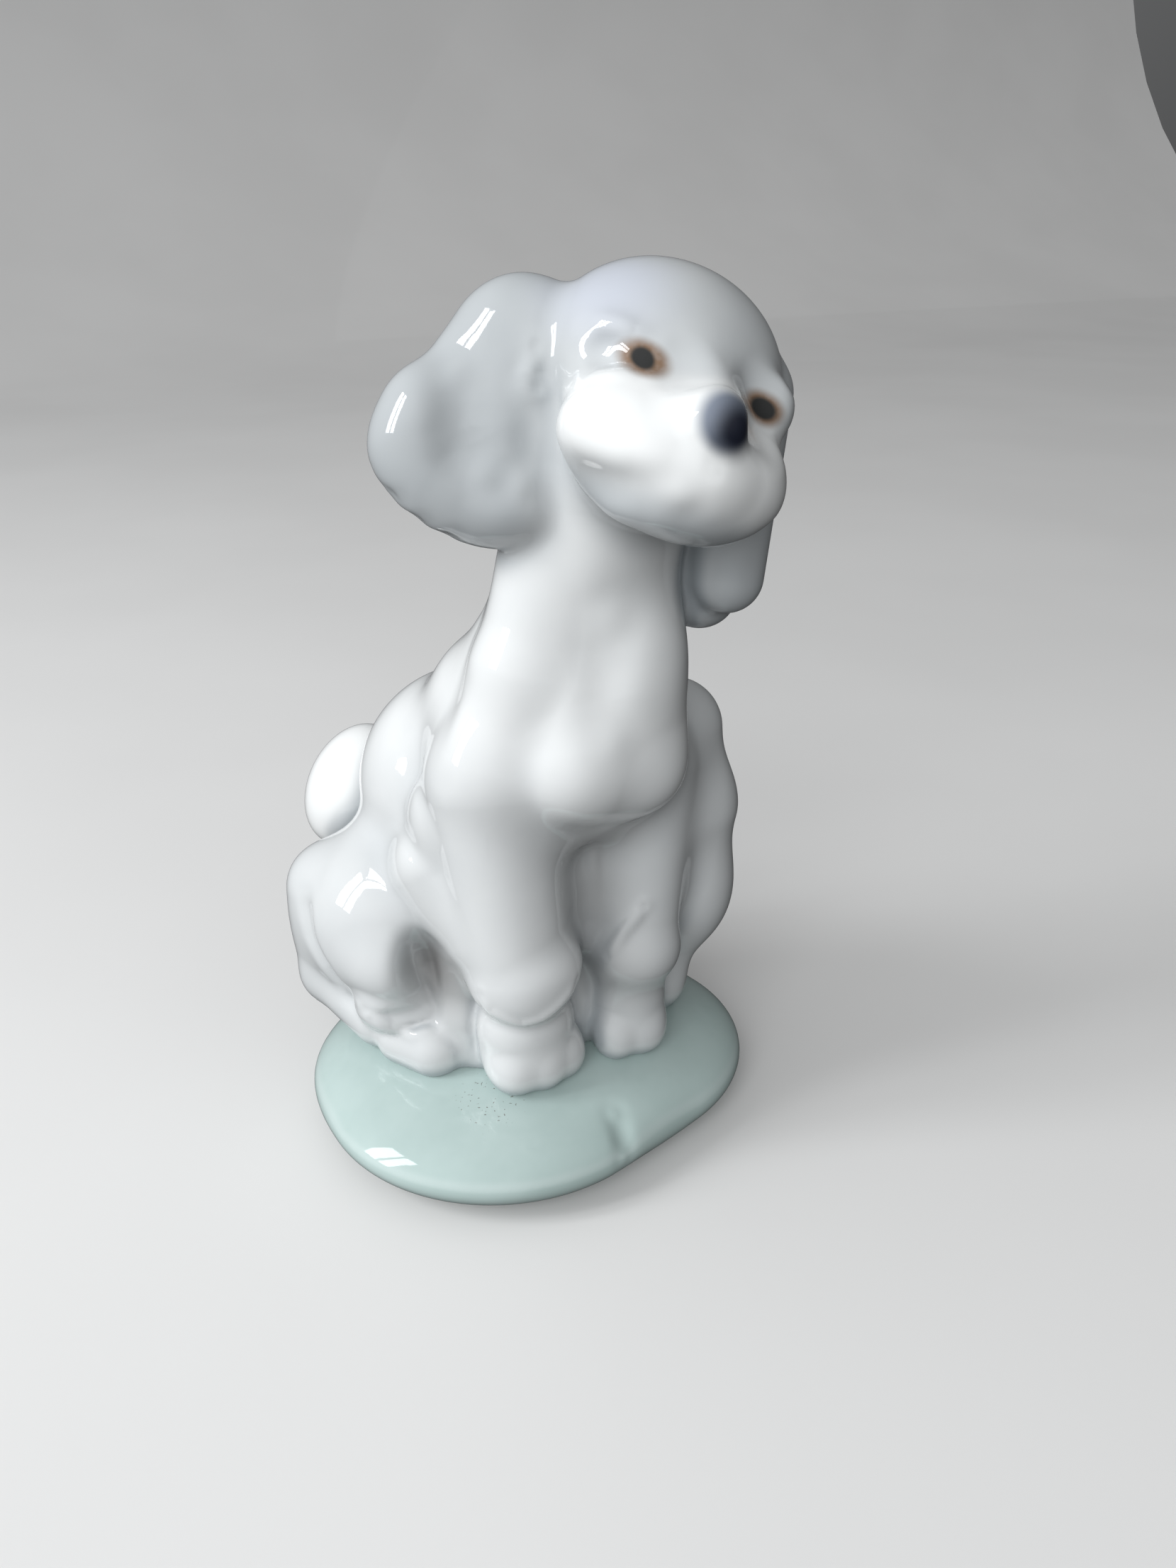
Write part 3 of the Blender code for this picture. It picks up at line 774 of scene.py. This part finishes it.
def hollow_shade_depth(dog, points):
    """How strongly shade is painted into the hollows at each point, 0 to 1."""
    total = np.zeros(len(points))
    for node, place, radii, depth in HOLLOW_SHADES:
        away = (points - dog.casting(node).place(place)) / np.array(radii)
        total += depth * np.exp(-(away ** 2).sum(axis=1))
    return np.clip(total, 0, 1)


# ---------------------------------------------------------------- materials

class Nodes:
    """Short ways to add and join shader nodes."""

    def __init__(self, name):
        self.material = bpy.data.materials.new(name)
        self.material.use_nodes = True
        self.tree = self.material.node_tree
        self.shader = self.tree.nodes["Principled BSDF"]

    def put(self, socket, value):
        """Join value to the socket if it comes out of a node, or else set the socket to it."""
        if isinstance(value, bpy.types.NodeSocket):
            self.tree.links.new(value, socket)
        elif isinstance(value, tuple) and len(value) == 3 and socket.type == "RGBA":
            socket.default_value = (*value, 1)
        else:
            socket.default_value = value

    def add(self, kind, inputs=(), **settings):
        node = self.tree.nodes.new(kind)
        for key, value in settings.items():
            setattr(node, key, value)
        for key, value in dict(inputs).items():
            self.put(node.inputs[key], value)
        return node

    def set(self, **inputs):
        """Set or join the shader's inputs; an underscore in a name stands for a space."""
        for key, value in inputs.items():
            self.put(self.shader.inputs[key.replace("_", " ")], value)

    def object_place(self):
        return self.add("ShaderNodeTexCoord").outputs["Object"]

    def attribute(self, name, output="Fac"):
        return self.add("ShaderNodeAttribute", attribute_name=name).outputs[output]

    def noise(self, place, scale, detail=2.0, roughness=0.5):
        inputs = {"Vector": place, "Scale": scale, "Detail": detail, "Roughness": roughness}
        return self.add("ShaderNodeTexNoise", inputs).outputs["Fac"]

    def sums(self, operation, *values):
        node = self.add("ShaderNodeMath", operation=operation)
        for number, value in enumerate(values):
            self.put(node.inputs[number], value)
        return node.outputs[0]

    def ranged(self, value, low, high, to_low=0.0, to_high=1.0, smooth=True):
        """value mapped from low..high to to_low..to_high, and held there."""
        kind = "SMOOTHSTEP" if smooth else "LINEAR"
        inputs = {"Value": value, "From Min": low, "From Max": high, "To Min": to_low, "To Max": to_high}
        return self.add("ShaderNodeMapRange", inputs, interpolation_type=kind).outputs["Result"]

    def mixed(self, share, first, second, blend="MIX"):
        node = self.add("ShaderNodeMix", data_type="RGBA", blend_type=blend)
        self.put(node.inputs["Factor"], share)
        colours = [socket for socket in node.inputs if socket.type == "RGBA"]
        self.put(colours[0], first)
        self.put(colours[1], second)
        return [socket for socket in node.outputs if socket.type == "RGBA"][0]

    def spot(self, place, centre, radii, soft):
        """1 inside an ellipsoid about centre, fading to 0 over the outer share `soft` of its radii."""
        offset = self.add("ShaderNodeVectorMath", {0: place, 1: centre}, operation="SUBTRACT").outputs[0]
        scaled = self.add("ShaderNodeVectorMath", {0: offset, 1: tuple(1 / r for r in radii)},
                          operation="MULTIPLY").outputs[0]
        length = self.add("ShaderNodeVectorMath", {0: scaled}, operation="LENGTH").outputs["Value"]
        return self.ranged(length, 1 - soft, 1 + soft, 1, 0)

    def bump(self, height, strength, distance, normal=None):
        inputs = {"Height": height, "Strength": strength, "Distance": distance}
        if normal is not None:
            inputs["Normal"] = normal
        return self.add("ShaderNodeBump", inputs).outputs["Normal"]


WHITE_CLAY = (0.83, 0.835, 0.825)
# grey-blue of the airbrushing, also used for the painted shade under the jaw
GREY_WASH_AND_SHADE = (0.45, 0.472, 0.482)
# grey painted into the dog's creases as shade
CREASE_SHADE = (0.34, 0.37, 0.39)
# near-black grey painted into the hollows as shade
HOLLOW_SHADE_GREY = (0.17, 0.165, 0.16)
LAVENDER = (0.50, 0.53, 0.62)
NOSE_INK = (0.012, 0.015, 0.028)
# the nose's paler edge, partly a painted highlight on its lit side
NOSE_EDGE_AND_SHEEN = (0.13, 0.16, 0.22)
PUPIL_INK = (0.008, 0.011, 0.012)
EYE_BROWN = (0.20, 0.11, 0.055)

GLASSY = 0.05                             # roughness of a fired glaze
GLAZE_SHINE = 0.7                         # specular level of the dog's glaze
MOTTLE_SCALE = 130                        # scales of the noises, per metre
PEEL_SCALE = 420
GRAIN_SCALE = 2600
MOTTLE_WASH = 0.22                        # how far the mottle moves the wash

EAR_ROOT = (-11.0, -4.0, 9.0)             # the lavender tint over the ear's root, in the head's frame, mm
EAR_ROOT_RADII = (6.0, 7.0, 5.0)
EYE_PLACES = ((-6.9, -11.4, 3.5), (5.8, -11.4, 3.1))
PUPIL_RADII = ((1.05, 3.0, 1.0), (1.5, 3.0, 1.0))
RIM_RADII = ((2.3, 4.0, 1.6), (2.3, 4.0, 1.5))
NOSE_PLACE = (-0.9, -21.3, 1.0)
NOSE_RADII = (2.6, 4.0, 2.7)
INK_AND_SHADE_PLACE = (0.2, -21.3, 0.5)             # the darkest part of the nose, off to the dog's left and down: painted shade, leaving a painted highlight on the dog's right and top
INK_AND_SHADE_RADII = (2.1, 4.0, 2.2)


def glaze(name):
    """The dog's glaze: white clay, grey-blue airbrushing, painted shade in the creases, the hollows and under
    the jaw, and a glassy skin.
    """
    n = Nodes(name)
    place = n.object_place()
    wash_and_shade = n.attribute("wash_and_shade")
    crease = n.attribute("crease")
    mottle = n.noise(place, MOTTLE_SCALE, 3)
    wash_and_shade = n.sums("ADD", wash_and_shade, n.sums("MULTIPLY", n.sums("SUBTRACT", mottle, 0.5), MOTTLE_WASH))
    # white to grey by the airbrushing, which also carries the painted shade under the jaw
    colour = n.mixed(n.ranged(wash_and_shade, 0.0, 1.0, smooth=False), WHITE_CLAY, GREY_WASH_AND_SHADE)
    root = n.spot(n.attribute("head_place", "Vector"), EAR_ROOT, EAR_ROOT_RADII, 0.7)
    colour = n.mixed(n.sums("MULTIPLY", root, 0.6), colour, LAVENDER)
    # painted shade: darker the more closed in by nearby clay the surface is
    colour = n.mixed(n.ranged(crease, 0.12, 0.8, 0, 0.75), colour, CREASE_SHADE)
    # painted shade in the hollows between the legs and under the chest
    colour = n.mixed(n.attribute("hollow_shade"), colour, HOLLOW_SHADE_GREY)
    grain = n.noise(place, GRAIN_SCALE, 1)
    peel = n.noise(place, PEEL_SCALE, 1)
    normal = n.bump(peel, 0.25, 0.06 * MM)
    normal = n.bump(grain, 0.12, 0.02 * MM, normal)
    n.set(Base_Color=colour, Roughness=GLASSY, Specular_IOR_Level=GLAZE_SHINE, Normal=normal)
    return n, colour


def head_glaze(name):
    """The same glaze with the painted eyes and nose; the nose is left paler on the dog's right and top, a
    painted highlight.
    """
    n, colour = glaze(name)
    place = n.attribute("head_place", "Vector")

    def painted(under, spot, strength, paint):
        return n.mixed(n.sums("MULTIPLY", spot, strength), under, paint)

    for centre, pupil_radii, rim_radii in zip(EYE_PLACES, PUPIL_RADII, RIM_RADII):
        ragged = n.noise(place, 0.9, 2)
        rim = n.spot(place, centre, rim_radii, 0.35)
        rim = n.sums("MULTIPLY", rim, n.ranged(ragged, 0.3, 0.6, 0.88, 1.0))
        colour = painted(colour, rim, 0.95, EYE_BROWN)
        colour = painted(colour, n.spot(place, centre, pupil_radii, 0.25), 0.97, PUPIL_INK)
    # the nose's paint, whose paler edge is partly a painted highlight
    colour = painted(colour, n.spot(place, NOSE_PLACE, NOSE_RADII, 0.3), 0.9, NOSE_EDGE_AND_SHEEN)
    # its darkest ink, set toward the dog's left and down: painted shade
    colour = n.mixed(n.spot(place, INK_AND_SHADE_PLACE, INK_AND_SHADE_RADII, 0.6), colour, NOSE_INK)
    n.set(Base_Color=colour)
    return n


CELADON = (0.43, 0.535, 0.51)
CELADON_DEEP = (0.24, 0.33, 0.30)
CELADON_PALE = (0.48, 0.585, 0.56)
# paler celadon over the rim, partly a painted highlight
CELADON_RIM_SHEEN = (0.66, 0.74, 0.72)
BARE_CLAY = (0.72, 0.68, 0.62)
BROWN_HINT = (0.20, 0.155, 0.115)
SPECK = (0.10, 0.07, 0.05)
SPECK_PLACE = (-11.8, -10.8, 4.6)         # the specks in front of the paws, from the base's middle, mm
SPECK_RADII = (4.2, 3.6, 3.0)
FOOT_RING_HEIGHT = (0.4, 0.9)             # the glaze stops between these heights, mm
UNGLAZED = 0.75                           # roughness of bare clay


def celadon(name, base):
    """The base's glaze: grey-green, deeper where it pools, pale over the rim's upward slope as thin glaze and
    a painted highlight, bare at the foot.
    """
    n = Nodes(name)
    place = n.object_place()
    crease = n.attribute("crease")
    rim = n.attribute("rim")
    mottle = n.noise(place, 70, 4, 0.6)
    colour = n.mixed(n.ranged(mottle, 0.3, 0.7), CELADON, CELADON_PALE)
    # paler where the surface faces partly up: thin glaze and a painted highlight
    colour = n.mixed(n.ranged(rim, 0.3, 1.0, 0, 0.3), colour, CELADON_RIM_SHEEN)
    colour = n.mixed(n.ranged(crease, 0.05, 0.8, 0, 0.8), colour, CELADON_DEEP)
    stain = n.sums("MULTIPLY", n.ranged(crease, 0.45, 0.9), n.ranged(n.noise(place, 160, 2), 0.35, 0.65))
    colour = n.mixed(n.sums("MULTIPLY", stain, 0.7), colour, BROWN_HINT)
    grains = n.ranged(n.noise(place, GRAIN_SCALE, 0), 0.73, 0.80, 0, 0.8)
    speck_place = tuple(float(value) for value in base.casting.place(SPECK_PLACE) * MM)
    field = n.spot(place, speck_place, tuple(radius * MM for radius in SPECK_RADII), 0.5)
    colour = n.mixed(n.sums("MULTIPLY", grains, field), colour, SPECK)
    height = n.add("ShaderNodeSeparateXYZ", {0: place}).outputs["Z"]
    bare = n.ranged(height, FOOT_RING_HEIGHT[0] * MM, FOOT_RING_HEIGHT[1] * MM, 1, 0)
    colour = n.mixed(bare, colour, BARE_CLAY)
    normal = n.bump(n.noise(place, 350, 1), 0.3, 0.08 * MM)
    n.set(Base_Color=colour, Roughness=n.ranged(bare, 0, 1, GLASSY, UNGLAZED), Normal=normal)
    return n


# ---------------------------------------------------------------- stage

CAMERA_AZIMUTH = -27                      # where the camera stands round the base, degrees
CAMERA_DISTANCE = 140                     # how far from the base's middle, along the floor, mm
CAMERA_HEIGHT = 112
CAMERA_PITCH = 25                         # how far it looks down, degrees
CAMERA_YAW = -2.9
CAMERA_HALF_VIEW = 32                     # half the height of its view, degrees


def camera():
    """The camera, from where it stands round the foot's middle and how it is turned."""
    azimuth = math.radians(CAMERA_AZIMUTH)
    data = bpy.data.cameras.new("camera")
    data.sensor_fit = "VERTICAL"
    data.sensor_height = 36
    data.lens = data.sensor_height / 2 / math.tan(math.radians(CAMERA_HALF_VIEW))
    data.clip_start = 0.01
    eye = bpy.data.objects.new("camera", data)
    bpy.context.scene.collection.objects.link(eye)
    out = Vector((math.sin(azimuth), -math.cos(azimuth), 0)) * CAMERA_DISTANCE
    eye.location = (out + Vector((0, 0, CAMERA_HEIGHT))) * MM
    eye.rotation_euler = (math.radians(90 - CAMERA_PITCH), 0, azimuth + math.radians(CAMERA_YAW))
    bpy.context.scene.camera = eye


def direction(azimuth, elevation):
    """The way out from the middle; azimuth 0 is the dog's front, and -90 is the left of the picture."""
    a = math.radians(azimuth)
    e = math.radians(elevation)
    return Vector((math.sin(a) * math.cos(e), -math.cos(a) * math.cos(e), math.sin(e)))


WINDOW_DIRECTION = (-100, 28)             # azimuth and elevation of the window, degrees
WINDOW_DISTANCE = 0.6                     # distances and sizes of the lights, m
WINDOW_HEIGHT = 0.40
WINDOW_PANES = ((-0.07, 0.10), (0.045, 0.08))   # how far aside and how wide each pane is
WINDOW_POWER = 1.1 / 0.09                 # watts per metre of width
FILL_DIRECTION = (-42, 28)
FILL_DISTANCE = 0.9
FILL_SIZE = 0.6
FILL_POWER = 4.0
LIGHT_COLOUR = (0.95, 0.975, 1.0)


def softbox(name, where, distance, width, height, power, target, aside=0.0):
    """A rectangular light that looks at target, moved aside by a distance in its own plane."""
    data = bpy.data.lights.new(name, "AREA")
    data.shape = "RECTANGLE"
    data.size = width
    data.size_y = height
    data.energy = power
    data.color = LIGHT_COLOUR
    light = bpy.data.objects.new(name, data)
    bpy.context.scene.collection.objects.link(light)
    away = direction(*where)
    turn = away.to_track_quat("Z", "Y").to_matrix()
    light.rotation_euler = turn.to_euler()
    light.location = target + away * distance + turn @ Vector((aside, 0, 0))
    return light


def lights(target):
    """A window with two panes, whose light is seen in the glaze, and a soft fill that isn't seen in it."""
    for number, (aside, width) in enumerate(WINDOW_PANES):
        softbox(f"window_{number}", WINDOW_DIRECTION, WINDOW_DISTANCE, width, WINDOW_HEIGHT,
                WINDOW_POWER * width, target, aside)
    fill = softbox("front_fill", FILL_DIRECTION, FILL_DISTANCE, FILL_SIZE, FILL_SIZE, FILL_POWER, target)
    fill.visible_glossy = False


SKY_LEFT = 0.85                           # brightness of the room on each side and below
SKY_RIGHT = 0.06
SKY_BELOW = 0.25
SKY_HORIZON = 0.4                         # how far above and below the horizon it changes
SKY_COLOUR = (0.97, 0.985, 1.0, 1)


def world():
    """Pale room light, bright on the left, dim on the right and from below."""
    sky = bpy.data.worlds.new("room")
    sky.use_nodes = True
    tree = sky.node_tree
    background = tree.nodes["Background"]
    place = tree.nodes.new("ShaderNodeTexCoord")
    split = tree.nodes.new("ShaderNodeSeparateXYZ")
    tree.links.new(place.outputs["Generated"], split.inputs[0])
    both = tree.nodes.new("ShaderNodeMath")
    both.operation = "MULTIPLY"
    falls = (("X", -1.0, 1.0, SKY_LEFT, SKY_RIGHT), ("Z", -SKY_HORIZON, SKY_HORIZON, SKY_BELOW, 1.0))
    for number, (axis, start, end, first, last) in enumerate(falls):
        fall = tree.nodes.new("ShaderNodeMapRange")
        tree.links.new(split.outputs[axis], fall.inputs["Value"])
        for key, value in (("From Min", start), ("From Max", end), ("To Min", first), ("To Max", last)):
            fall.inputs[key].default_value = value
        tree.links.new(fall.outputs["Result"], both.inputs[number])
    tree.links.new(both.outputs[0], background.inputs["Strength"])
    background.inputs["Color"].default_value = SKY_COLOUR
    bpy.context.scene.world = sky


FLOOR_COLOUR = (0.80, 0.79, 0.775)
FLOOR_MOTTLE = (0.83, 0.82, 0.805)
SWEEP_WIDTH = 3.0                         # sizes of the backdrop, m
SWEEP_FRONT = -0.9
SWEEP_BACK = 1.2
SWEEP_RADIUS = 0.5
SWEEP_TOP = 1.6
SWEEP_STEPS = 12


def backdrop():
    """A pale floor that sweeps up into a wall; it isn't mirrored in the glaze and doesn't light it."""
    profile = [(SWEEP_FRONT, 0.0), (SWEEP_BACK - SWEEP_RADIUS, 0.0)]
    for step in range(1, SWEEP_STEPS + 1):
        angle = math.radians(90 * step / SWEEP_STEPS)
        profile.append((SWEEP_BACK - SWEEP_RADIUS + SWEEP_RADIUS * math.sin(angle),
                        SWEEP_RADIUS * (1 - math.cos(angle))))
    profile.append((SWEEP_BACK, SWEEP_TOP))
    points = [(side * SWEEP_WIDTH / 2, y, z) for y, z in profile for side in (-1, 1)]
    faces = [(2 * i, 2 * i + 1, 2 * i + 3, 2 * i + 2) for i in range(len(profile) - 1)]
    mesh = bpy.data.meshes.new("floor")
    mesh.from_pydata(points, [], faces)
    mesh.shade_smooth()
    floor = bpy.data.objects.new("floor", mesh)
    bpy.context.scene.collection.objects.link(floor)
    n = Nodes("floor")
    mottle = n.noise(n.object_place(), 8, 3)
    colour = n.mixed(n.ranged(mottle, 0.3, 0.7), FLOOR_COLOUR, FLOOR_MOTTLE)
    n.set(Base_Color=colour, Roughness=0.6)
    mesh.materials.append(n.material)
    floor.visible_diffuse = False
    floor.visible_glossy = False


# ---------------------------------------------------------------- build

def mesh_bounds(castings, margin=3.0):
    """The corners of the castings' CAD boxes with a margin all round, mm."""
    low = np.min([np.array(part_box(c.node)[0]) for c in castings], axis=0) / MM - margin
    high = np.max([np.array(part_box(c.node)[1]) for c in castings], axis=0) / MM + margin
    return low, high


def build_base(base):
    """The base's piece."""
    points, quads = surface(base.distance, *mesh_bounds([base.casting]))
    normals = skin_normals(base.distance, points, quads)
    attributes = {
        "crease": cover(base.distance, points, normals, BASE_COVER_STEPS),
        # how much the surface faces partly up, for the painted highlight over the rim
        "rim": np.exp(-((normals[:, 2] - SHEEN_TILT) / SHEEN_SPREAD) ** 2),
    }
    mesh = piece_mesh("base_glazed", points, normals, quads, attributes, base.distance)
    add_piece("base_glazed", mesh, celadon("celadon_glaze", base).material, "base", base.casting.slot)


def build_dog(dog):
    """One skin for the whole dog, split where the castings meet into a piece for each."""
    points, quads = surface(dog.distance, *mesh_bounds(dog.castings))
    normals = skin_normals(dog.distance, points, quads)
    apart = np.stack([casting.distance(points) for casting in dog.castings], axis=1)
    owner = apart[quads].mean(axis=1).argmin(axis=1)
    owner = without_small_patches(owner, edge_pairs(quads))
    head = dog.casting("head")

    def all_round(at):
        return np.minimum(dog.distance(at), dog.base.mound(at))

    head_place = (points - head.middle) @ head.axes
    attributes = {
        # how closed in each point is, which paints shade into the creases
        "crease": cover(all_round, points, normals, DOG_COVER_STEPS),
        # the airbrushing, with painted shade under the jaw
        "wash_and_shade": wash_and_jaw_shade(dog, points, head_place),
        # painted shade in the hollows
        "hollow_shade": hollow_shade_depth(dog, points),
        "head_place": head_place,
    }
    skins = {slot: glaze(slot)[0].material for slot in ("pale_glaze", "grey_glaze", "white_glaze")}
    painted = head_glaze("pale_glaze_painted").material
    for number, casting in enumerate(dog.castings):
        name = casting.node + "_glazed"
        mesh = piece_mesh(name, points, normals, quads[owner == number], attributes, dog.distance)
        skin = painted if casting.node == "head" else skins[casting.slot]
        add_piece(name, mesh, skin, casting.node, casting.slot)


base = Base(base_casting())
dog = Dog([
    torso_casting(),
    right_hind_leg_casting(),
    left_hind_leg_casting(),
    right_foreleg_casting(),
    left_foreleg_casting(),
    tail_casting(),
    head_casting(),
    right_ear_casting(),
    left_ear_casting(),
], base)
build_base(base)
build_dog(dog)
camera()
backdrop()
lights((CAD_BOX[0] + CAD_BOX[1]) / 2)
world()
bpy.context.scene.view_settings.view_transform = "Standard"
